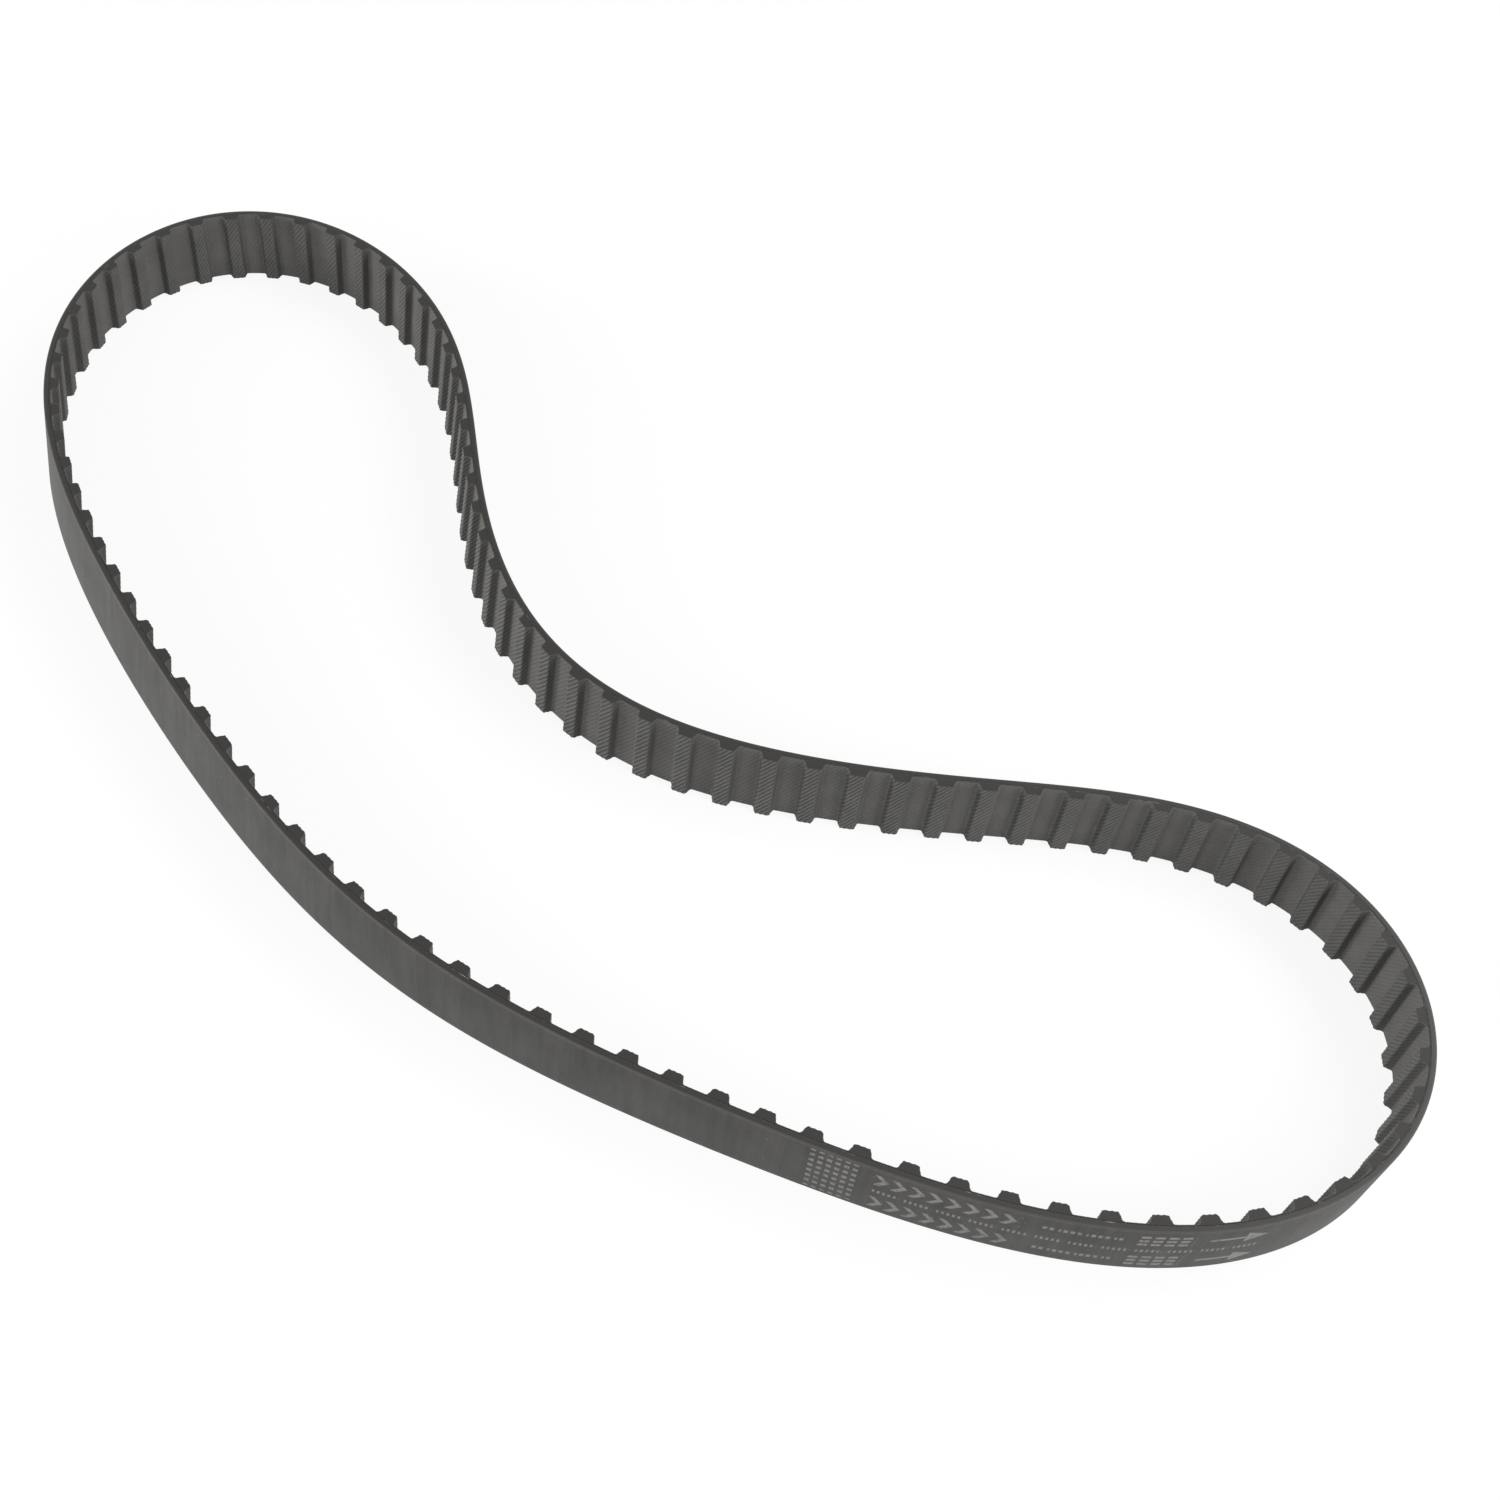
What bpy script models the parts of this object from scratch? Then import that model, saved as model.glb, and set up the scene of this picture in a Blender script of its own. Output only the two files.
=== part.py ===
"""Endless trapezoidal timing belt, standing on its cut edge in a free kidney-shaped loop.

The belt is a laminate of four plies: backing rubber, tension cord ply, tooth rubber and tooth facing.
Each ply is divided at the same lands into flex sections. Every section hangs on an empty that sits on
its hinge line: the upright line through the cords at the middle of a land, where a belt bends most.
Plan positions are given by two numbers: the run along the pitch line from the open land,
counter-clockwise seen from above, and the height above (outside) the pitch line.
"""

import math

import bpy
import numpy as np

# Standard sizes of the belt, in metres
TOOTH_COUNT = 97
TOOTH_PITCH = 0.009525
BELT_WIDTH = 0.01905
BELT_THICKNESS = 0.00360
TOOTH_HEIGHT = 0.001905
TOOTH_ROOT_WIDTH = 0.00465
FLANK_ANGLE = math.radians(20)

# Plies, in metres: the backing fills what the others leave. The film is tooth rubber on the lands
FACING_THICKNESS = 0.00014
FILM_THICKNESS = 0.000051
CORD_DIAMETER = 0.00030
BOND_GAP = 0.00002

# Flexing: the ring is divided into sections that leave room to bend at their lands
SECTION_COUNT = 12
ROOT_SECTION = 6
FLEX_GAP = 0.0005

# The free shape of the loop: points of the pitch line at even steps along it, in metres,
# from the open land at the waist, counter-clockwise
LOOP_POINTS = (
    (-0.0830, 0.0440),
    (-0.1305, 0.0695),
    (-0.1800, 0.0550),
    (-0.1805, 0.0040),
    (-0.1415, -0.0335),
    (-0.0915, -0.0540),
    (-0.0390, -0.0675),
    (0.0150, -0.0720),
    (0.0685, -0.0620),
    (0.1200, -0.0445),
    (0.1665, -0.0170),
    (0.1880, 0.0310),
    (0.1565, 0.0705),
    (0.1050, 0.0595),
    (0.0615, 0.0275),
    (0.0130, 0.0035),
    (-0.0395, 0.0115),
)
LOOP_SAMPLES = 6000

# Colour, roughness of each ply
PLY_FINISHES = {
    "backing": ((0.060, 0.058, 0.056), 0.70),
    "cord_ply": ((0.420, 0.380, 0.300), 0.60),
    "tooth_rubber": ((0.040, 0.039, 0.038), 0.75),
    "facing": ((0.070, 0.069, 0.068), 0.85),
}

BELT_LENGTH = TOOTH_COUNT * TOOTH_PITCH
CORD_RADIUS = CORD_DIAMETER / 2
# The pitch line runs through the cords, this deep under the lands: 0.381 mm on a standard belt
PITCH_LINE_DEPTH = FACING_THICKNESS + FILM_THICKNESS + 2 * BOND_GAP + CORD_RADIUS
BACK_HEIGHT = BELT_THICKNESS - TOOTH_HEIGHT - PITCH_LINE_DEPTH
# A mitred corner of the tooth outline moves by this share of the inset along the belt
CORNER_SHIFT = (1 - math.sin(FLANK_ANGLE)) / math.cos(FLANK_ANGLE)


def loop_curve():
    """Runs, plan points and outward normals, closely spaced along the pitch line's smooth closed curve."""
    corners = np.array(LOOP_POINTS) @ np.array([1, 1j])
    waves = np.fft.fft(corners) / len(corners)
    orders = np.fft.fftfreq(len(corners), 1 / len(corners))
    turns = np.linspace(0, 2 * math.pi, LOOP_SAMPLES + 1)
    swing = np.exp(1j * np.outer(turns, orders))
    points = swing @ waves
    tangents = swing @ (1j * orders * waves)
    runs = np.concatenate([[0], np.cumsum(np.abs(np.diff(points)))])
    scale = BELT_LENGTH / runs[-1]
    return runs * scale, points * scale, -1j * tangents / np.abs(tangents)


def centred(points, normals):
    """The loop's points, moved so that the middle of the back face's box is the origin."""
    back = points + BACK_HEIGHT * normals
    middle_x = (back.real.max() + back.real.min()) / 2
    middle_y = (back.imag.max() + back.imag.min()) / 2
    return points - (middle_x + 1j * middle_y)


RUNS, POINTS, NORMALS = loop_curve()
POINTS = centred(POINTS, NORMALS)


def plan_point(run, height):
    """Plan position of a point at this run, this far outside the pitch line."""
    run = run % BELT_LENGTH
    point = np.interp(run, RUNS, POINTS)
    normal = np.interp(run, RUNS, NORMALS)
    placed = point + height * normal / abs(normal)
    return placed.real, placed.imag


def section_teeth(section):
    """First tooth of a section and the first tooth after it. Sections count from 1."""
    first = round((section - 1) * TOOTH_COUNT / SECTION_COUNT)
    after = round(section * TOOTH_COUNT / SECTION_COUNT)
    return first, after


def section_ends(section):
    """Runs at which a section starts and ends, half a flex gap from the middles of its end lands."""
    first, after = section_teeth(section)
    return first * TOOTH_PITCH + FLEX_GAP / 2, after * TOOTH_PITCH - FLEX_GAP / 2


def tooth_middles(section):
    first, after = section_teeth(section)
    return [(tooth + 0.5) * TOOTH_PITCH for tooth in range(first, after)]


def flat_line(section, height):
    """A ply surface with no teeth: straight from root to root and from land to land."""
    start, end = section_ends(section)
    runs = [start]
    for middle in tooth_middles(section):
        runs += [middle - TOOTH_ROOT_WIDTH / 2, middle + TOOTH_ROOT_WIDTH / 2]
    runs.append(end)
    return [plan_point(run, height) for run in runs]


def toothed_line(section, inset):
    """A ply surface that follows the teeth, this far under the belt's running face."""
    land = inset - PITCH_LINE_DEPTH
    tip = land - TOOTH_HEIGHT
    root_half = TOOTH_ROOT_WIDTH / 2 - inset * CORNER_SHIFT
    tip_half = root_half - TOOTH_HEIGHT * math.tan(FLANK_ANGLE)
    start, end = section_ends(section)
    line = [plan_point(start, land)]
    for middle in tooth_middles(section):
        line.append(plan_point(middle - root_half, land))
        line.append(plan_point(middle - tip_half, tip))
        line.append(plan_point(middle + tip_half, tip))
        line.append(plan_point(middle + root_half, land))
    line.append(plan_point(end, land))
    return line


def ply_lines(section):
    """Outer and inner surface of each ply of a section, as plan lines along the belt."""
    return {
        "backing": (
            flat_line(section, BACK_HEIGHT),
            flat_line(section, CORD_RADIUS + BOND_GAP),
        ),
        "cord_ply": (
            flat_line(section, CORD_RADIUS),
            flat_line(section, -CORD_RADIUS),
        ),
        "tooth_rubber": (
            flat_line(section, -CORD_RADIUS - BOND_GAP),
            toothed_line(section, FACING_THICKNESS + BOND_GAP),
        ),
        "facing": (
            toothed_line(section, FACING_THICKNESS),
            toothed_line(section, 0),
        ),
    }


def ply_material(ply):
    colour, roughness = PLY_FINISHES[ply]
    material = bpy.data.materials.new(ply)
    material.use_nodes = True
    shader = material.node_tree.nodes["Principled BSDF"]
    shader.inputs["Base Color"].default_value = (*colour, 1)
    shader.inputs["Roughness"].default_value = roughness
    shader.inputs["Metallic"].default_value = 0
    return material


def ply_solid(name, outer, inner, material, hinge, collection):
    """A ply of one section: its plan outline, extruded over the belt's width, under its hinge."""
    outline = bpy.data.curves.new(name, "CURVE")
    outline.dimensions = "2D"
    outline.fill_mode = "BOTH"
    outline.extrude = BELT_WIDTH / 2
    corners = outer + inner[::-1]
    spline = outline.splines.new("POLY")
    spline.points.add(len(corners) - 1)
    hinge_x, hinge_y, _ = hinge.matrix_world.translation
    for point, (x, y) in zip(spline.points, corners):
        point.co = (x - hinge_x, y - hinge_y, 0, 1)
    spline.use_cyclic_u = True
    outline.materials.append(material)
    solid = bpy.data.objects.new(name, outline)
    solid.parent = hinge
    solid.location.z = BELT_WIDTH / 2
    collection.objects.link(solid)


def hinge_run(section):
    """Run of the land on which a section turns: the one nearer the root section."""
    first, after = section_teeth(section)
    if section < ROOT_SECTION:
        return after * TOOTH_PITCH
    return first * TOOTH_PITCH


def hinge_empty(section, parent, collection):
    """An empty on the section's hinge line. The root section's empty is the belt's origin."""
    empty = bpy.data.objects.new(f"hinge_{section:02d}", None)
    collection.objects.link(empty)
    if parent is not None:
        x, y = plan_point(hinge_run(section), 0)
        empty.parent = parent
        empty.location = (
            x - parent.matrix_world.translation.x,
            y - parent.matrix_world.translation.y,
            0,
        )
    bpy.context.view_layer.update()
    return empty


def hinge_tree(collection):
    """The sections' empties: two arms that leave the root section and meet at the open land."""
    hinges = {ROOT_SECTION: hinge_empty(ROOT_SECTION, None, collection)}
    for section in range(ROOT_SECTION - 1, 0, -1):
        hinges[section] = hinge_empty(section, hinges[section + 1], collection)
    for section in range(ROOT_SECTION + 1, SECTION_COUNT + 1):
        hinges[section] = hinge_empty(section, hinges[section - 1], collection)
    return hinges


def main():
    for old in list(bpy.data.objects):
        bpy.data.objects.remove(old, do_unlink=True)
    collection = bpy.data.collections.new("timing_belt")
    bpy.context.scene.collection.children.link(collection)
    materials = {ply: ply_material(ply) for ply in PLY_FINISHES}
    hinges = hinge_tree(collection)
    for section in range(1, SECTION_COUNT + 1):
        for ply, (outer, inner) in ply_lines(section).items():
            name = f"{ply}_{section:02d}"
            ply_solid(name, outer, inner, materials[ply], hinges[section], collection)


main()
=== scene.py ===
"""Looks of an endless trapezoidal timing belt that stands on its cut edge in a free loop.

Each ply is modelled as a flat strip and then laid on the loop. In a flat strip, x is the run along
the belt, y the depth from the middle of the cords towards the teeth, and z the height across the width.
A strip reaches from the middle of one flex section to the middle of the next.
"""

import math

import bmesh
import bpy
import numpy as np
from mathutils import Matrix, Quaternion, Vector


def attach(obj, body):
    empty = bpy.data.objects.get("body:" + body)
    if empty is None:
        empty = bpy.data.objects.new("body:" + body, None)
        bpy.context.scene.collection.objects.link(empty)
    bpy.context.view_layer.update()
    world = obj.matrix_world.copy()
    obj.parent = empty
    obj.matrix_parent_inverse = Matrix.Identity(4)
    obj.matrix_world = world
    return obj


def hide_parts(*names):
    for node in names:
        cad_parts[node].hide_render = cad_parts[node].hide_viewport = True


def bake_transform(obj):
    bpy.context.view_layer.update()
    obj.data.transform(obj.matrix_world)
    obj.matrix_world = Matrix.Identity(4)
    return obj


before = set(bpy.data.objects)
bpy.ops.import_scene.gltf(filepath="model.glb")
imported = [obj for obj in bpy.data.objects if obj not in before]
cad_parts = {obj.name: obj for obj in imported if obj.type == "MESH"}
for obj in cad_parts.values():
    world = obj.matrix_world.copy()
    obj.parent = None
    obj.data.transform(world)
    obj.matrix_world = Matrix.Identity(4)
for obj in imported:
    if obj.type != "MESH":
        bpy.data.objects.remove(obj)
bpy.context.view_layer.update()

# Sizes of the belt, in metres, as the frame has them
TOOTH_COUNT = 97
TOOTH_PITCH = 0.009525
BELT_WIDTH = 0.01905
BELT_THICKNESS = 0.00360
TOOTH_HEIGHT = 0.001905
TOOTH_ROOT_WIDTH = 0.00465
FLANK_ANGLE = math.radians(20)
LAND_DEPTH = 0.000381
FACING_THICKNESS = 0.00014
CORD_RADIUS = 0.00015
SECTION_COUNT = 12

# Roundings, recess and gap of the strips, in metres
CORNER_RADIUS = 0.00051
RIM_RADIUS = 0.0002
CORD_ROUNDING = 0.98 * CORD_RADIUS
CORD_RECESS = 0.00005
OPEN_GAP = 0.00001

# How finely the strips are divided: counts, and the longest step over a tooth in metres
CORNER_SEGMENTS = 4
RIM_SEGMENTS = 3
STEPS_PER_PITCH = 8
RIB_ROWS = 80
FINE_STEP = 0.00028

# Limits that tell points, faces and edges apart
NEAR = 1e-6
END_NORMAL = 0.5
CUT_NORMAL = 0.9
SMOOTH_ANGLE = math.radians(40)

# Twill ribs of the facing: ribs per millimetre along and across the belt, and their height in metres
RIBS_ALONG = 0.87
RIBS_ACROSS = 0.70
RIB_HEIGHT = 0.00011
RIB_SHARE_ON_LANDS = 0.2

# Stretch of the facing where the ribs' painted light and shade are strongest, standing in for light that
# grazes across the ribs there, in millimetres along it: its middle, and where to either side it fades
CLEAR_MIDDLE = 1080
CLEAR_NEAR = 60
CLEAR_FAR = 200

# How clear the ribs' shading is: on the lands as a share of the tips, outside the stretch of painted
# grazing light, and in it
CLEAR_ON_LANDS = 0.4
CLEAR_OUTSIDE_PAINTED_GRAZING = 0.45
CLEAR_IN_PAINTED_GRAZING = 0.87

# Ink stamped on the back, in millimetres: where along the run each kind of mark starts and ends
TICK_RUNS = (472, 482)
CHEVRON_RUNS = (485, 513)
LINE_RUNS = (485, 560)
DASH_RUNS = (517, 532)
BLOCK_RUNS = (535, 545.5)
ARROW_RUNS = (548.5, 560)
ARROW_HEAD = 4.5

# Height of its middle line, distance of a row from that line, and softness of its borders, in millimetres
LINE_HEIGHT = 9.3
ROW_SPACING = 5.1
INK_SOFTNESS = 0.08

# Width of the paler rims of the back, in millimetres
PALE_RIM = 1.2

# How warm each finish is: the share of blue that it lacks
BACK_WARMTH = 0.085
INK_WARMTH = 0.05
CUT_WARMTH = 0.15
CLOTH_WARMTH = 0.065
GLASS_WARMTH = 0.14

# The floor, in metres, and how pale it is
FLOOR_SIZE = 6
FLOOR_HEIGHT = -0.0001
FLOOR_TONE = 0.9

# Share of glow in the floor's white near the belt, and from where to where it becomes all, in metres
FLOOR_GLOW = 0.88
ALL_GLOW_FROM = 0.3
ALL_GLOW_TO = 0.8

# Strength of the white surroundings as a light. Where they are seen, it is 1
WORLD_LIGHT = 0.25

# Soft lights: name, place and side in metres, power in watts
LIGHTS = (
    ("back_light", (0.4, 0.8, 1.0), 0.7, 9.6),
    ("left_light", (-0.8, -0.6, 0.3), 0.3, 6.9),
    ("front_light", (-0.1, -0.8, 0.45), 0.5, 3.7),
    ("right_light", (0.8, 0.15, 0.4), 0.5, 5.9),
)

# The loop's free shape: points of the pitch line at even steps, in metres, counter-clockwise
LOOP_POINTS = (
    (-0.0830, 0.0440),
    (-0.1305, 0.0695),
    (-0.1800, 0.0550),
    (-0.1805, 0.0040),
    (-0.1415, -0.0335),
    (-0.0915, -0.0540),
    (-0.0390, -0.0675),
    (0.0150, -0.0720),
    (0.0685, -0.0620),
    (0.1200, -0.0445),
    (0.1665, -0.0170),
    (0.1880, 0.0310),
    (0.1565, 0.0705),
    (0.1050, 0.0595),
    (0.0615, 0.0275),
    (0.0130, 0.0035),
    (-0.0395, 0.0115),
)
LOOP_SAMPLES = 6000

# Lean of the free-standing wall, in degrees: its mean, then the cosine and sine part of each wave
LEAN_MEAN = 0.10
LEAN_WAVES = ((-1.90, 3.87), (-4.66, -1.25))

# Camera, in metres and degrees, with its lens and sensor in millimetres
CAMERA_TARGET = Vector((0.02761, 0.02426, 0))
CAMERA_DISTANCE = 0.4326
CAMERA_ELEVATION = 51.62
CAMERA_TURN = 32.85
CAMERA_ROLL = 8.65
CAMERA_LENS = 45.29
SENSOR_WIDTH = 36
CLIP_START = 0.01

MM = 1000
BELT_LENGTH = TOOTH_COUNT * TOOTH_PITCH
TIP_DEPTH = LAND_DEPTH + TOOTH_HEIGHT
BACK_DEPTH = TIP_DEPTH - BELT_THICKNESS
# A mitred corner of the tooth outline moves by this share of the inset along the belt
CORNER_SHIFT = (1 - math.sin(FLANK_ANGLE)) / math.cos(FLANK_ANGLE)
# How far from a sharp corner its rounding starts
CORNER_OFFSET = CORNER_RADIUS * math.tan((math.pi / 2 - FLANK_ANGLE) / 2)
# What a flank adds to the length of the facing, for each unit of depth
FLANK_EXCESS = 1 / math.cos(FLANK_ANGLE) - math.tan(FLANK_ANGLE)
FACING_PITCH = TOOTH_PITCH + 2 * FLANK_EXCESS * TOOTH_HEIGHT


# Where the belt lies

def loop_curve():
    """Runs, plan points and outward normals along the pitch line, centred as the frame is."""
    corners = np.array(LOOP_POINTS) @ np.array([1, 1j])
    waves = np.fft.fft(corners) / len(corners)
    orders = np.fft.fftfreq(len(corners), 1 / len(corners))
    turns = np.linspace(0, 2 * math.pi, LOOP_SAMPLES + 1)
    swing = np.exp(1j * np.outer(turns, orders))
    points = swing @ waves
    tangents = swing @ (1j * orders * waves)
    runs = np.concatenate([[0], np.cumsum(np.abs(np.diff(points)))])
    scale = BELT_LENGTH / runs[-1]
    points = points * scale
    normals = -1j * tangents / np.abs(tangents)
    back = points - BACK_DEPTH * normals
    middle_x = (back.real.max() + back.real.min()) / 2
    middle_y = (back.imag.max() + back.imag.min()) / 2
    return runs * scale, points - (middle_x + 1j * middle_y), normals


LOOP_RUNS, LOOP_MIDDLES, LOOP_NORMALS = loop_curve()


def wall_lean(runs):
    """How far the wall's top leans inwards, as a slope, at these runs."""
    turns = 2 * math.pi * runs / BELT_LENGTH
    lean = np.full(np.shape(runs), LEAN_MEAN)
    for order, (cosine, sine) in enumerate(LEAN_WAVES, 1):
        lean = lean + cosine * np.cos(order * turns) + sine * np.sin(order * turns)
    return np.radians(lean)


def on_loop(runs, depths, heights):
    """Places in the frame of points given by run, depth and height."""
    depths = depths + wall_lean(runs) * (heights - BELT_WIDTH / 2)
    around = np.mod(runs, BELT_LENGTH)
    normals = np.interp(around, LOOP_RUNS, LOOP_NORMALS)
    places = np.interp(around, LOOP_RUNS, LOOP_MIDDLES) - depths * normals / np.abs(normals)
    return np.stack([places.real, places.imag, heights], axis=-1)


def first_tooth(section):
    """First tooth of a flex section. Sections count from 1."""
    return round((section - 1) * TOOTH_COUNT / SECTION_COUNT)


def strip_lands(strip):
    """First and last land of a strip. The first strip starts and the last one ends at the open land."""
    middles = [0]
    for section in range(1, SECTION_COUNT + 1):
        middles.append((first_tooth(section) + first_tooth(section + 1)) // 2)
    middles.append(TOOTH_COUNT)
    return middles[strip], middles[strip + 1]


# Modelling tools

def deselect():
    bpy.ops.object.select_all(action="DESELECT")


def activate(piece):
    deselect()
    piece.select_set(True)
    bpy.context.view_layer.objects.active = piece


def edit():
    bpy.ops.object.mode_set(mode="EDIT")


def leave():
    bpy.ops.object.mode_set(mode="OBJECT")


def pick(kind, test):
    """Selects the vertices, edges or faces for which the test holds, and says whether there are any."""
    bpy.ops.mesh.select_mode(type=kind)
    bpy.ops.mesh.select_all(action="DESELECT")
    mesh = bmesh.from_edit_mesh(bpy.context.object.data)
    group = {"VERT": mesh.verts, "EDGE": mesh.edges, "FACE": mesh.faces}[kind]
    found = [element for element in group if test(element)]
    for element in found:
        element.select = True
    mesh.select_flush_mode()
    bmesh.update_edit_mesh(bpy.context.object.data)
    return bool(found)


def cut(place):
    """Cuts the whole mesh across the run at this x."""
    bpy.ops.mesh.select_all(action="SELECT")
    bpy.ops.mesh.bisect(plane_co=(place, 0, 0), plane_no=(1, 0, 0))


def at_one_height(edge):
    return abs(edge.verts[0].co.z - edge.verts[1].co.z) < NEAR


def along_run(edge):
    return abs(edge.verts[0].co.x - edge.verts[1].co.x) > NEAR


def use_modifier(name, kind, **settings):
    modifier = bpy.context.object.modifiers.new(name, kind)
    for key, value in settings.items():
        setattr(modifier, key, value)
    bpy.ops.object.modifier_apply(modifier=name)


def place_array(piece):
    places = np.empty(len(piece.data.vertices) * 3)
    piece.data.vertices.foreach_get("co", places)
    return places.reshape(-1, 3)


def set_places(piece, places):
    piece.data.vertices.foreach_set("co", places.ravel())
    piece.data.update()


def repeat(pitch, name, start, teeth):
    """A strip of so many teeth from this run on: copies of a one-pitch piece in a mesh of its own."""
    strip = pitch.copy()
    strip.data = pitch.data.copy()
    strip.name = name
    strip.data.name = name
    bpy.context.scene.collection.objects.link(strip)
    activate(strip)
    use_modifier(
        "repeat",
        "ARRAY",
        count=teeth,
        use_relative_offset=False,
        use_constant_offset=True,
        constant_offset_displace=(TOOTH_PITCH, 0, 0),
        use_merge_vertices=True,
        merge_threshold=NEAR,
    )
    set_places(strip, place_array(strip) + (start, 0, 0))
    return strip


def tidy_normals():
    bpy.ops.mesh.select_all(action="SELECT")
    bpy.ops.mesh.normals_make_consistent(inside=False)


# One pitch of each ply, lying flat

def flat_pitch(depth):
    """One pitch of a flat sheet as wide as the belt, at this depth."""
    deselect()
    bpy.ops.mesh.primitive_plane_add(
        size=1,
        location=(TOOTH_PITCH / 2, depth, BELT_WIDTH / 2),
        rotation=(-math.pi / 2, 0, 0),
    )
    sheet = bpy.context.object
    sheet.scale = (TOOTH_PITCH, BELT_WIDTH, 1)
    bpy.ops.object.transform_apply(location=True, rotation=True, scale=True)
    return sheet


def toothed_pitch(inset):
    """A sheet that follows one tooth, this far under the running face."""
    middle = TOOTH_PITCH / 2
    root_half = TOOTH_ROOT_WIDTH / 2 - inset * CORNER_SHIFT
    tip_half = root_half - TOOTH_HEIGHT * math.tan(FLANK_ANGLE)
    sheet = flat_pitch(LAND_DEPTH - inset)
    edit()
    for half in (root_half, tip_half):
        cut(middle - half)
        cut(middle + half)
    pick("VERT", lambda vertex: abs(vertex.co.x - middle) < tip_half + NEAR)
    bpy.ops.transform.translate(value=(0, TOOTH_HEIGHT, 0))
    pick(
        "EDGE",
        lambda edge: not at_one_height(edge) and abs(edge.verts[0].co.x - middle) < root_half + NEAR,
    )
    bpy.ops.mesh.bevel(offset=CORNER_OFFSET, segments=CORNER_SEGMENTS, affect="EDGES")
    while pick("EDGE", lambda edge: at_one_height(edge) and edge.calc_length() > FINE_STEP):
        bpy.ops.mesh.subdivide(number_cuts=1)
    leave()
    return sheet


def facing_pitch():
    return toothed_pitch(0)


def tooth_pitch():
    return toothed_pitch(FACING_THICKNESS)


def pitch_block(low, high, rounded, radius):
    """An open-ended block between two pairs of depth and height, its picked long edges rounded."""
    deselect()
    bpy.ops.mesh.primitive_cube_add(
        size=1,
        location=(TOOTH_PITCH / 2, (low[0] + high[0]) / 2, (low[1] + high[1]) / 2),
    )
    block = bpy.context.object
    block.scale = (TOOTH_PITCH, high[0] - low[0], high[1] - low[1])
    bpy.ops.object.transform_apply(location=True, rotation=True, scale=True)
    edit()
    pick("FACE", lambda face: abs(face.normal.x) > END_NORMAL)
    bpy.ops.mesh.delete(type="FACE")
    pick("EDGE", lambda edge: along_run(edge) and rounded(edge.verts[0].co))
    bpy.ops.mesh.bevel(offset=radius, segments=RIM_SEGMENTS, affect="EDGES")
    pick("EDGE", along_run)
    bpy.ops.mesh.subdivide(number_cuts=STEPS_PER_PITCH - 1)
    leave()
    return block


def backing_pitch():
    """The backing rubber, with the rims of its back face rounded by grinding."""
    return pitch_block(
        (BACK_DEPTH, 0),
        (-CORD_RADIUS, BELT_WIDTH),
        lambda place: place.y < BACK_DEPTH + NEAR,
        RIM_RADIUS,
    )


def cord_pitch():
    """The cord ply, with the half-round sides of its outermost cords just inside the cut edges."""
    return pitch_block(
        (-CORD_RADIUS, CORD_RECESS),
        (CORD_RADIUS, BELT_WIDTH - CORD_RECESS),
        lambda place: True,
        CORD_ROUNDING,
    )


# Strips of each ply, closed all round

def facing_length(runs, depths):
    """Length along the facing, followed over the teeth, at these runs and depths."""
    tooth = np.floor(runs / TOOTH_PITCH)
    offset = runs - (tooth + 0.5) * TOOTH_PITCH
    return tooth * FACING_PITCH + offset + np.sign(offset) * FLANK_EXCESS * (TIP_DEPTH - depths)


def rib_wave(lengths, heights):
    """Height of the twill ribs, from 0 in a groove to 1 on a crest."""
    turns = (lengths * RIBS_ALONG + heights * RIBS_ACROSS) * MM
    return (1 + np.cos(2 * math.pi * turns)) / 2


def close_facing(facing):
    """Gives the facing its even thickness, and its ribs on the running face."""
    sheet_count = len(facing.data.vertices)
    normals = np.array([vertex.normal for vertex in facing.data.vertices])
    lifts = facing.data.attributes.new("lift", "FLOAT_VECTOR", "POINT")
    lifts.data.foreach_set("vector", normals.ravel())
    use_modifier("thickness", "SOLIDIFY", thickness=FACING_THICKNESS, offset=-1, use_even_offset=True)
    edit()
    pick(
        "EDGE",
        lambda edge: not at_one_height(edge) and max(end.index for end in edge.verts) < sheet_count,
    )
    bpy.ops.mesh.subdivide(number_cuts=RIB_ROWS - 1)
    leave()
    add_ribs(facing, sheet_count)


def add_ribs(facing, sheet_count):
    """Lowers the grooves between the ribs. The inner skin, as many points as the sheet had, stays."""
    places = place_array(facing)
    lift = np.empty(places.size)
    facing.data.attributes["lift"].data.foreach_get("vector", lift)
    tooth_share = np.clip((places[:, 1] - LAND_DEPTH) / TOOTH_HEIGHT, 0, 1)
    strength = RIB_SHARE_ON_LANDS + (1 - RIB_SHARE_ON_LANDS) * np.sqrt(tooth_share)
    lengths = facing_length(places[:, 0], places[:, 1])
    rise = RIB_HEIGHT * strength * (rib_wave(lengths, places[:, 2]) - 1)
    rise[sheet_count:2 * sheet_count] = 0
    set_places(facing, places + lift.reshape(-1, 3) * rise[:, None])
    facing.data.attributes.remove(facing.data.attributes["lift"])


def close_teeth(teeth):
    """Fills the teeth down to the cords."""
    edit()
    bpy.ops.mesh.select_all(action="SELECT")
    bpy.ops.mesh.extrude_region_move()
    bpy.ops.transform.resize(value=(1, 0, 1), center_override=(0, CORD_RADIUS, 0))
    tidy_normals()
    leave()


def close_block(block):
    """Closes both ends of a block."""
    runs = place_array(block)[:, 0]
    edit()
    for end in (runs.min(), runs.max()):
        pick("VERT", lambda vertex: abs(vertex.co.x - end) < NEAR)
        bpy.ops.mesh.edge_face_add()
    tidy_normals()
    leave()


# Materials

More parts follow.
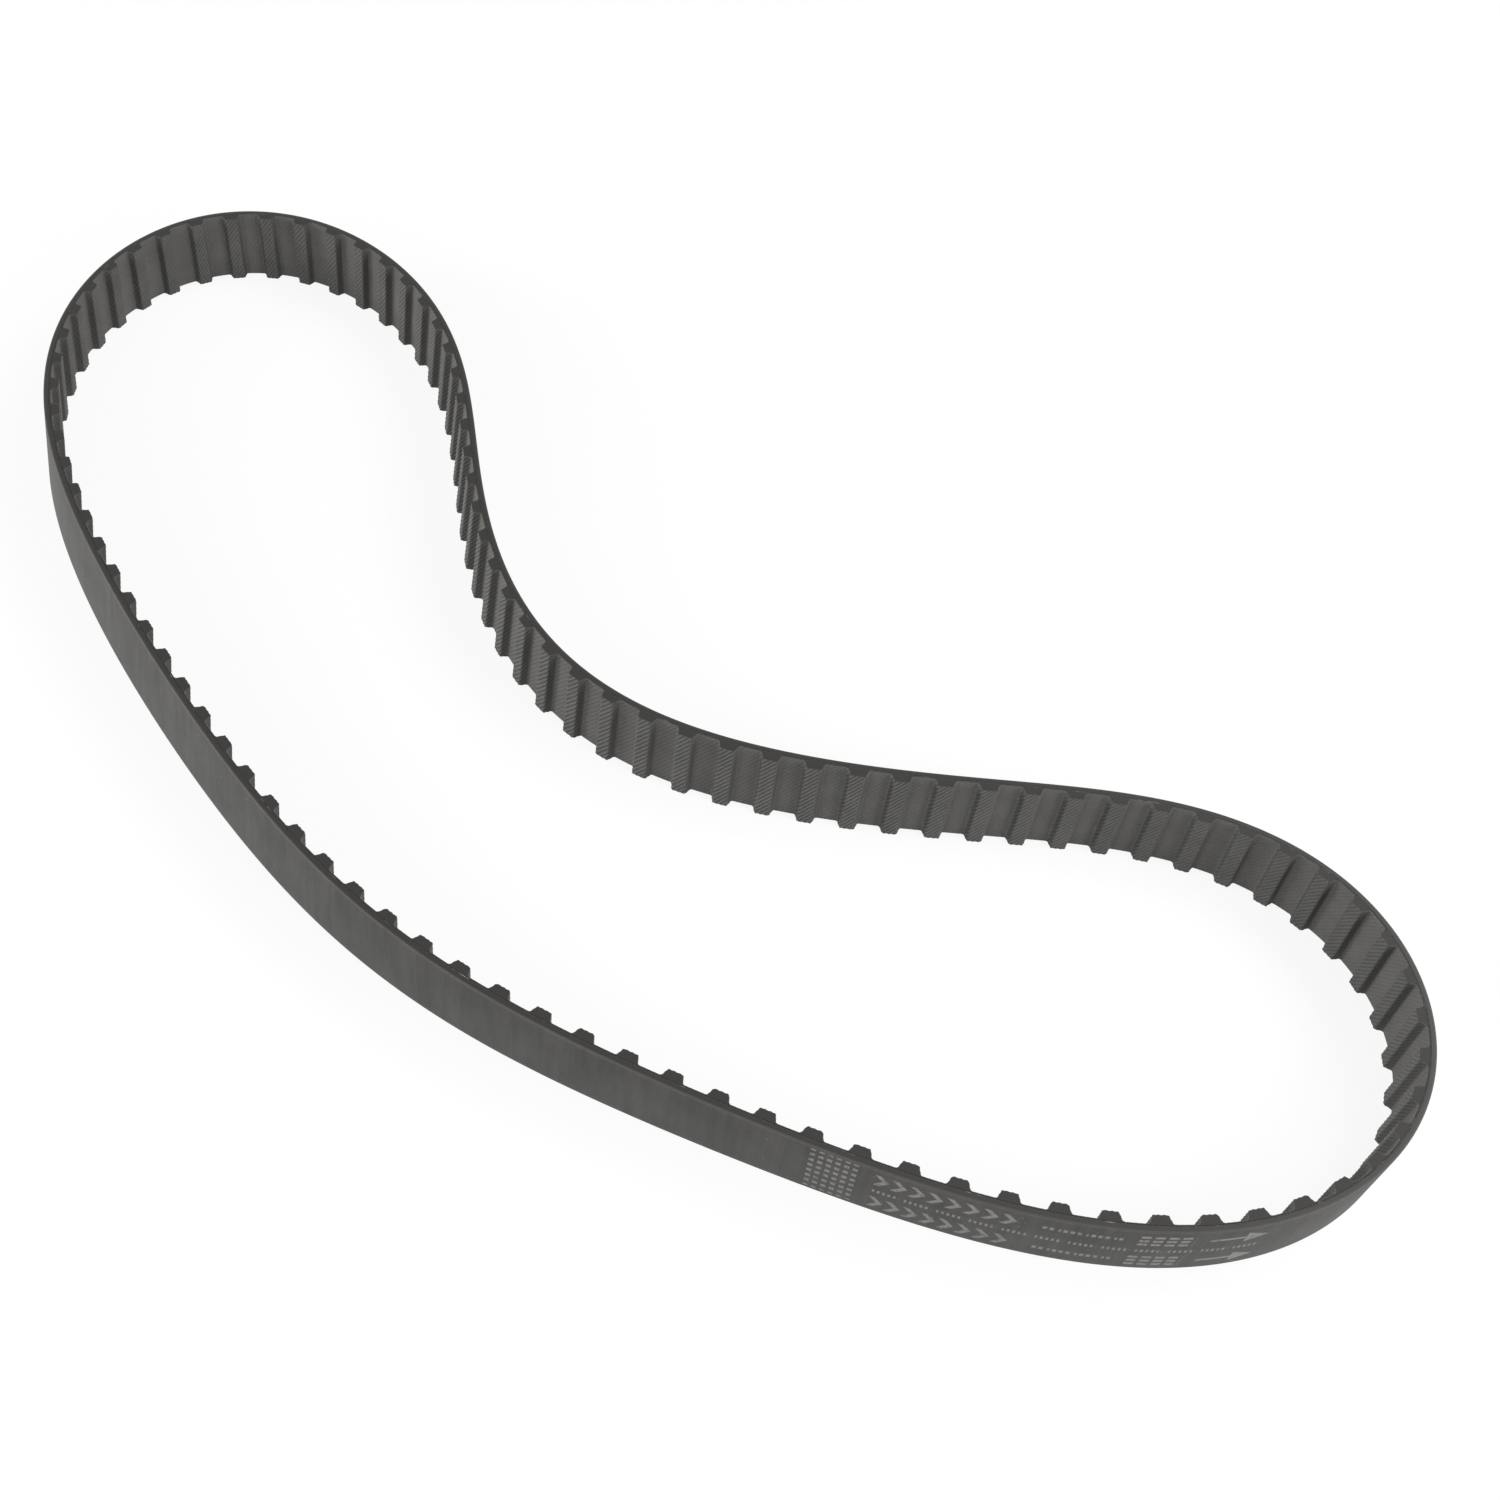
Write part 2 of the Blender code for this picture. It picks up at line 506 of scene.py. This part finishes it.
class Tone:
    """A socket of a material's nodes. Arithmetic on it adds Math nodes, and node() adds any other."""

    def __init__(self, socket):
        self.socket = socket

    def node(self, kind, settings, inputs, output=0):
        tree = self.socket.id_data
        made = tree.nodes.new(kind)
        for key, value in settings.items():
            setattr(made, key, value)
        for key, value in inputs.items():
            if isinstance(value, Tone):
                tree.links.new(value.socket, made.inputs[key])
            else:
                made.inputs[key].default_value = value
        return Tone(made.outputs[output])

    def maths(self, operation, first, second=0.0):
        return self.node("ShaderNodeMath", {"operation": operation}, {0: first, 1: second})

    def __add__(self, other):
        return self.maths("ADD", self, other)

    def __radd__(self, other):
        return self.maths("ADD", other, self)

    def __sub__(self, other):
        return self.maths("SUBTRACT", self, other)

    def __rsub__(self, other):
        return self.maths("SUBTRACT", other, self)

    def __mul__(self, other):
        return self.maths("MULTIPLY", self, other)

    def cosine(self):
        return self.maths("COSINE", self)

    def size(self):
        return self.maths("ABSOLUTE", self)

    def wrapped(self, period):
        return self.maths("FLOORED_MODULO", self, period)

    def swing(self, strength):
        """The tone's swing about one half, this strong."""
        return (self - 0.5) * strength

    def step(self, low, high):
        """A soft step from 0 at low to 1 at high."""
        return self.node(
            "ShaderNodeMapRange",
            {"interpolation_type": "SMOOTHSTEP"},
            {"Value": self, "From Min": low, "From Max": high},
        )

    def below(self, limit):
        """1 below the limit and 0 above it, with the ink's soft border."""
        return 1 - self.step(limit - INK_SOFTNESS, limit + INK_SOFTNESS)

    def inside(self, low, high):
        """1 between low and high and 0 outside, with the ink's soft borders."""
        return self.step(low - INK_SOFTNESS, low + INK_SOFTNESS) * self.below(high)

    def noise(self, scale, detail=2.0, roughness=0.5):
        """Noise over this vector, from 0 to 1."""
        return self.node(
            "ShaderNodeTexNoise",
            {},
            {"Vector": self, "Scale": scale, "Detail": detail, "Roughness": roughness},
        )

    def mixed(self, first, second):
        """The first colour where this is 0 and the second where it is 1."""
        return self.node(
            "ShaderNodeMix",
            {"data_type": "RGBA"},
            {0: self, 6: first, 7: second},
            output=2,
        )


def grey(level, warmth):
    """A nearly neutral colour of this linear level. A warm one has less blue and a little more red."""
    return (level * (1 + warmth / 3), level, level * (1 - warmth), 1)


def new_finish(name, gloss):
    """A material and its shader, this glossy."""
    material = bpy.data.materials.new(name)
    material.use_nodes = True
    shader = material.node_tree.nodes["Principled BSDF"]
    shader.inputs["Specular IOR Level"].default_value = gloss
    return material, shader


def belt_map(shader):
    """Run and height of the belt map, in millimetres."""
    belt = Tone(shader.outputs[0]).node("ShaderNodeUVMap", {"uv_map": "belt"}, {})
    run = belt.node("ShaderNodeSeparateXYZ", {}, {0: belt}, output=0)
    height = belt.node("ShaderNodeSeparateXYZ", {}, {0: belt}, output=1)
    return run, height


def own_place(shader):
    """Where a point lies in its own object, in metres."""
    return Tone(shader.outputs[0]).node("ShaderNodeTexCoord", {}, {}, output="Object")


def depth_share(shader):
    """Where a point lies in the belt's thickness: 0 on a land, 1 on a tip, below 0 towards the back."""
    root = Tone(shader.outputs[0])
    return root.node("ShaderNodeAttribute", {"attribute_name": "depth"}, {}, output="Fac")


def vector(first, second):
    return first.node("ShaderNodeCombineXYZ", {}, {0: first, 1: second})


def connect(shader, socket, tone):
    shader.id_data.links.new(tone.socket, shader.inputs[socket])


def add_bump(shader, height, distance):
    """Relief: a height from 0 to 1, this many metres high."""
    bump = height.node("ShaderNodeBump", {}, {"Height": height, "Distance": distance})
    connect(shader, "Normal", bump)


# Ink on the back. Each mark is 1 where there is ink, and lengths are in millimetres

def dashes(run, ends, pitch, share):
    """Dashes of even pitch along the run, between two ends."""
    return (run - ends[0]).wrapped(pitch).inside(0, share * pitch) * run.inside(*ends)


def ticks(run, height):
    """A field of ticks over nearly the whole width."""
    columns = dashes(run, TICK_RUNS, pitch=1.7, share=0.6)
    rows = height.wrapped(2.4).inside(0.6, 1.7)
    return columns * rows * height.inside(1, 18)


def middle_line(run, from_line):
    """A line of dashes in groups."""
    groups = run.wrapped(6.3).inside(0, 5.2)
    return dashes(run, LINE_RUNS, pitch=1.05, share=0.5) * groups * from_line.inside(-0.6, 0.6)


def chevrons(run, from_row):
    """A row of chevrons that point along the run."""
    slanted = (run + from_row * 0.8).wrapped(3.5).inside(0, 1.3)
    return slanted * from_row.below(2.3) * run.inside(*CHEVRON_RUNS)


def dash_row(run, from_row):
    """A row of dashes in groups."""
    groups = run.wrapped(5.2).inside(0, 4.4)
    return dashes(run, DASH_RUNS, pitch=1.3, share=0.65) * groups * from_row.below(0.6)


def blocks(run, row):
    """A row of blocks, three lines high."""
    lines = (row + 2.7).wrapped(1.8).inside(0.4, 1.4)
    return dashes(run, BLOCK_RUNS, pitch=2.6, share=0.72) * lines * row.size().below(2.7)


def arrow(run, from_row):
    """An arrow along the run."""
    start, tip = ARROW_RUNS
    neck = tip - ARROW_HEAD
    shaft = run.inside(start, neck) * from_row.below(0.45)
    head = (tip - run - from_row * 2).step(0, 0.2) * run.step(neck - 0.1, neck)
    return shaft + head


def ink_marks(run, height):
    """The whole stamp. Its rows mirror about the middle line."""
    from_line = height - LINE_HEIGHT
    row = from_line.size() - ROW_SPACING
    from_row = row.size()
    marks = ticks(run, height) + middle_line(run, from_line) + chevrons(run, from_row)
    return marks + dash_row(run, from_row) + blocks(run, row) + arrow(run, from_row)


# Finishes

def ground_rubber():
    """The back: ground rubber with faint streaks across the belt, paler rims, specks and worn ink."""
    material, shader = new_finish("ground_rubber", gloss=0.4)
    run, height = belt_map(shader)
    place = own_place(shader)
    streaks = vector(run * 0.5, height * 0.04).noise(scale=1, detail=3, roughness=0.6)
    bands = vector(run * 0.12, height * 0.03).noise(scale=1)
    marks = vector(run * 4, height * 0.35).noise(scale=1, detail=3, roughness=0.6)
    clouds = place.noise(scale=120, detail=3)
    grain = place.noise(scale=2600, detail=3, roughness=0.6)
    shade = 0.5 + streaks.swing(1.7) + bands.swing(0.9) + clouds.swing(1.2)
    shade = shade + grain.swing(0.8) + marks.swing(0.8)
    rim = pale_rims(height) * grain
    ink = ink_marks(run, height) * place.noise(scale=1300, detail=3, roughness=0.7).step(0.3, 0.5)
    colour = shade.mixed(grey(0.0235, BACK_WARMTH), grey(0.046, BACK_WARMTH))
    colour = (rim * 0.5).mixed(colour, grey(0.105, BACK_WARMTH))
    colour = (specks(place) * 0.35).mixed(colour, grey(0.3, INK_WARMTH))
    colour = (ink * 0.85).mixed(colour, grey(0.19, INK_WARMTH))
    connect(shader, "Base Color", colour)
    connect(shader, "Roughness", 0.5 + grain * 0.25)
    add_bump(shader, streaks * 0.3 + marks * 0.4 + grain * 0.5, distance=0.00006)
    return material


def pale_rims(height):
    """1 at both rims of the back, 0 away from them."""
    top = BELT_WIDTH * MM
    return 1 - height.step(0, PALE_RIM) + height.step(top - PALE_RIM, top)


def specks(place):
    """1 on small scattered specks."""
    spots = place.node("ShaderNodeTexVoronoi", {}, {"Vector": place, "Scale": 240}, output="Distance")
    return 1 - spots.step(0.02, 0.06)


def cut_rubber():
    """The cut edges: dark rubber, wiped smooth along the belt by the knife, paler next to the back."""
    material, shader = new_finish("cut_rubber", gloss=0.33)
    run = belt_map(shader)[0]
    place = own_place(shader)
    wipes = vector(run * 0.15, place.noise(scale=900) * 3).noise(scale=2, detail=3)
    grain = place.noise(scale=3200)
    rim = 1 - depth_share(shader).step(-0.82, -0.62)
    shade = wipes * 0.6 + grain * 0.4
    colour = shade.mixed(grey(0.008, CUT_WARMTH), grey(0.022, CUT_WARMTH))
    connect(shader, "Base Color", (rim * 0.6).mixed(colour, grey(0.055, BACK_WARMTH)))
    connect(shader, "Roughness", 0.42 + grain * 0.2)
    add_bump(shader, wipes * 0.5 + grain * 0.5, distance=0.00002)
    return material


def tooth_rubber():
    """The cut ends of the teeth: rubber that tore a little, so it is rougher than the wiped edges."""
    material, shader = new_finish("tooth_rubber", gloss=0.33)
    place = own_place(shader)
    crumbs = place.noise(scale=2400, detail=4, roughness=0.7)
    clouds = place.noise(scale=500)
    shade = crumbs * 0.6 + clouds * 0.4
    connect(shader, "Base Color", shade.mixed(grey(0.006, CUT_WARMTH), grey(0.022, CUT_WARMTH)))
    connect(shader, "Roughness", 0.5 + crumbs * 0.25)
    add_bump(shader, crumbs, distance=0.00004)
    return material


def rib_clearness(run, depth):
    """How clear the ribs are: clearer on the teeth than on the lands, and clearest in one stretch, where
    painted light stands in for light grazing across the ribs.
    """
    round_belt = TOOTH_COUNT * FACING_PITCH * MM
    from_middle = ((run - CLEAR_MIDDLE + round_belt / 2).wrapped(round_belt) - round_belt / 2).size()
    # Painted light: 1 in the stretch where the ribs are painted as if light grazed across them, fading to
    # 0 away from it
    painted_grazing_stretch = 1 - from_middle.step(CLEAR_NEAR, CLEAR_FAR)
    on_teeth = CLEAR_ON_LANDS + depth.step(0, 1) * (1 - CLEAR_ON_LANDS)
    return on_teeth * (CLEAR_OUTSIDE_PAINTED_GRAZING + painted_grazing_stretch * (CLEAR_IN_PAINTED_GRAZING - CLEAR_OUTSIDE_PAINTED_GRAZING))


def facing_fabric():
    """The facing: nylon twill, its ribs clearer on the teeth than on the lands, dark on the flanks."""
    material, shader = new_finish("facing_fabric", gloss=0.4)
    run, height = belt_map(shader)
    place = own_place(shader)
    depth = depth_share(shader)
    turns = run * RIBS_ALONG + height * RIBS_ACROSS
    along_rib = run * RIBS_ACROSS - height * RIBS_ALONG
    ribs = (turns * math.pi).cosine().size()
    yarns = vector(turns * 5, along_rib * 1.5).noise(scale=1)
    fuzz = place.noise(scale=5200)
    clouds = place.noise(scale=160)
    clear = rib_clearness(run, depth)
    flank = depth.step(0.03, 0.2) * (1 - depth.step(0.8, 0.97))
    # Rib crests painted paler and grooves darker, as painted light and shade on the ribs, together with
    # the yarns' own uneven tone
    painted_rib_light_and_yarns = (ribs - 0.6) * clear * 0.8 + yarns.swing(0.7)
    # Tips painted darker than the lands, as painted light on the lands that offsets the shade falling
    # between the teeth
    shade = 0.5 - depth.step(0, 1) * 0.18 + painted_rib_light_and_yarns + clouds.swing(0.3) + fuzz.swing(0.4)
    colour = shade.mixed(grey(0.024, CLOTH_WARMTH), grey(0.141, CLOTH_WARMTH))
    connect(shader, "Base Color", (flank * 0.38).mixed(colour, grey(0.02, CLOTH_WARMTH)))
    connect(shader, "Roughness", 0.65 + fuzz * 0.2)
    add_bump(shader, ribs * clear * 0.3 + yarns * 0.4 + fuzz * 0.2, distance=0.00008)
    return material


def cut_fabric():
    """The facing's cut edge: the pale ends of its yarns, frayed a little."""
    material, shader = new_finish("cut_fabric", gloss=0.3)
    run = belt_map(shader)[0]
    yarn_ends = vector(run * 3, depth_share(shader) * 6).noise(scale=1, detail=3, roughness=0.7)
    connect(shader, "Base Color", yarn_ends.mixed(grey(0.035, CLOTH_WARMTH), grey(0.11, CLOTH_WARMTH)))
    connect(shader, "Roughness", 0.7 + yarn_ends * 0.2)
    add_bump(shader, yarn_ends, distance=0.00005)
    return material


def cord_glass():
    """The treated glass cords: twisted, dark, and bare in places."""
    material, shader = new_finish("cord_glass", gloss=0.4)
    run, height = belt_map(shader)
    twist = ((run * 1.6 + height * 4) * math.pi).cosine().size()
    fray = vector(run * 3, height * 12).noise(scale=1)
    patches = vector(run * 0.12, height * 0.05).noise(scale=1, detail=3, roughness=0.7)
    bare = patches.step(0.55, 0.68) * fray.step(0.3, 0.6)
    shade = twist * 0.6 + fray * 0.4
    colour = shade.mixed(grey(0.012, GLASS_WARMTH), grey(0.05, GLASS_WARMTH))
    connect(shader, "Base Color", (bare * 0.8).mixed(colour, grey(0.3, GLASS_WARMTH)))
    connect(shader, "Roughness", 0.4 + fray * 0.3)
    add_bump(shader, twist, distance=0.00004)
    return material


FINISHES = {
    "ground_rubber": ground_rubber(),
    "cut_rubber": cut_rubber(),
    "tooth_rubber": tooth_rubber(),
    "facing_fabric": facing_fabric(),
    "cut_fabric": cut_fabric(),
    "cord_glass": cord_glass(),
}


# Laying the strips on the loop

def add_belt_map(piece, over_teeth):
    """The belt map: run, or length along the facing, and height, in millimetres."""
    places = place_array(piece)
    lengths = places[:, 0]
    if over_teeth:
        lengths = facing_length(lengths, places[:, 1])
    corners = np.empty(len(piece.data.loops), int)
    piece.data.loops.foreach_get("vertex_index", corners)
    mapped = np.stack([lengths[corners], places[corners, 2]], axis=1) * MM
    for layer in list(piece.data.uv_layers):
        piece.data.uv_layers.remove(layer)
    piece.data.uv_layers.new(name="belt")
    piece.data.uv_layers["belt"].data.foreach_set("uv", mapped.ravel())


def add_depth_share(piece):
    """Stores where each point lies in the belt's thickness, for its finish."""
    share = (place_array(piece)[:, 1] - LAND_DEPTH) / TOOTH_HEIGHT
    piece.data.attributes.new("depth", "FLOAT", "POINT")
    piece.data.attributes["depth"].data.foreach_set("value", share)


def paint(piece, finish, end_finish):
    """One finish on the piece, and another on what the knife cut."""
    piece.data.materials.clear()
    piece.data.materials.append(FINISHES[finish])
    piece.data.materials.append(FINISHES[end_finish])
    for face in piece.data.polygons:
        face.material_index = int(abs(face.normal.z) > CUT_NORMAL)


def lay_on_loop(piece):
    """Carries a flat strip on to the loop."""
    flat = place_array(piece)
    runs = np.clip(flat[:, 0], OPEN_GAP / 2, BELT_LENGTH - OPEN_GAP / 2)
    set_places(piece, on_loop(runs, flat[:, 1], flat[:, 2]))
    activate(piece)
    bpy.ops.object.shade_smooth_by_angle(angle=SMOOTH_ANGLE)


def hang(piece, strip):
    """Lets the first and last strip ride on the section they lie on, and leaves the others fixed where
    they lie.
    """
    if strip in (0, SECTION_COUNT):
        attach(piece, f"section_{max(strip, 1):02d}")
        return
    ends = np.array(strip_lands(strip)) * TOOTH_PITCH
    places = on_loop(ends, np.zeros(2), np.full(2, BELT_WIDTH / 2))
    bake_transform(piece)


def stands_for(ply, strip):
    """Hides the frame's nodes that a strip covers."""
    sections = {max(strip, 1), min(strip + 1, SECTION_COUNT)}
    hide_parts(*[f"{ply}_{section:02d}" for section in sorted(sections)])


# Name of a ply, how one pitch is made and a strip is closed, its CAD ply, its finish and that of its cuts
PLIES = (
    ("back_rubber", backing_pitch, close_block, "backing", "ground_rubber", "cut_rubber"),
    ("cords", cord_pitch, close_block, "cord_ply", "cord_glass", "cord_glass"),
    ("teeth", tooth_pitch, close_teeth, "tooth_rubber", "tooth_rubber", "tooth_rubber"),
    ("fabric", facing_pitch, close_facing, "facing", "facing_fabric", "cut_fabric"),
)


def lay_ply(name, make_pitch, close, ply, finish, end_finish):
    """Makes one pitch of a ply and lays it round the loop in strips."""
    pitch = make_pitch()
    for strip in range(SECTION_COUNT + 1):
        first, last = strip_lands(strip)
        piece = repeat(pitch, f"{name}_{strip:02d}", first * TOOTH_PITCH, last - first)
        close(piece)
        add_belt_map(piece, over_teeth=ply == "facing")
        add_depth_share(piece)
        paint(piece, finish, end_finish)
        lay_on_loop(piece)
        hang(piece, strip)
        stands_for(ply, strip)
    bpy.data.objects.remove(pitch)


# The studio

def seen_rays(root):
    """1 where the camera sees a surface straight, mirrored or through something clear."""
    kinds = ("Camera", "Glossy", "Transmission")
    rays = [root.node("ShaderNodeLightPath", {}, {}, output=f"Is {kind} Ray") for kind in kinds]
    return rays[0] + rays[1] + rays[2]


def floor_finish():
    """A dull white that partly glows where it is seen, and wholly so away from the belt."""
    material, shader = new_finish("floor", gloss=0)
    shader.inputs["Base Color"].default_value = grey(FLOOR_TONE, warmth=0)
    shader.inputs["Roughness"].default_value = 1
    root = Tone(shader.outputs[0])
    place = own_place(shader)
    away = place.node("ShaderNodeVectorMath", {"operation": "LENGTH"}, {0: place}, output="Value")
    share = FLOOR_GLOW + away.step(ALL_GLOW_FROM, ALL_GLOW_TO) * (1 - FLOOR_GLOW)
    glow = root.node("ShaderNodeEmission", {}, {"Strength": 1.0})
    seen = root.node("ShaderNodeMixShader", {}, {0: seen_rays(root) * share, 1: root, 2: glow})
    connect(material.node_tree.nodes["Material Output"], "Surface", seen)
    return material


def floor():
    deselect()
    bpy.ops.mesh.primitive_plane_add(size=FLOOR_SIZE, location=(0, 0, FLOOR_HEIGHT))
    sheet = bpy.context.object
    sheet.name = "floor"
    sheet.data.materials.append(floor_finish())


def soft_light(name, place, size, power):
    """A square soft light that faces the belt."""
    lamp = bpy.data.lights.new(name, "AREA")
    lamp.size = size
    lamp.energy = power
    light = bpy.data.objects.new(name, lamp)
    bpy.context.scene.collection.objects.link(light)
    light.location = place
    light.rotation_mode = "QUATERNION"
    light.rotation_quaternion = (-Vector(place)).to_track_quat("-Z", "Y")


def surroundings():
    """White all round: full white where it is seen, and a weaker light."""
    world = bpy.data.worlds.new("studio")
    bpy.context.scene.world = world
    world.use_nodes = True
    background = world.node_tree.nodes["Background"]
    background.inputs["Color"].default_value = (1, 1, 1, 1)
    strength = seen_rays(Tone(background.outputs[0])) * (1 - WORLD_LIGHT) + WORLD_LIGHT
    connect(background, "Strength", strength)


def camera():
    turn = math.radians(CAMERA_TURN)
    elevation = math.radians(CAMERA_ELEVATION)
    forward = Vector(
        (
            -math.sin(turn) * math.cos(elevation),
            math.cos(turn) * math.cos(elevation),
            -math.sin(elevation),
        )
    )
    lens = bpy.data.cameras.new("camera")
    lens.lens = CAMERA_LENS
    lens.sensor_width = SENSOR_WIDTH
    lens.clip_start = CLIP_START
    view = bpy.data.objects.new("camera", lens)
    bpy.context.scene.collection.objects.link(view)
    view.location = CAMERA_TARGET - CAMERA_DISTANCE * forward
    view.rotation_mode = "QUATERNION"
    roll = Quaternion((0, 0, 1), math.radians(CAMERA_ROLL))
    view.rotation_quaternion = forward.to_track_quat("-Z", "Y") @ roll
    bpy.context.scene.camera = view


for row in PLIES:
    lay_ply(*row)
surroundings()
for row in LIGHTS:
    soft_light(*row)
floor()
camera()
bpy.context.scene.view_settings.view_transform = "Standard"
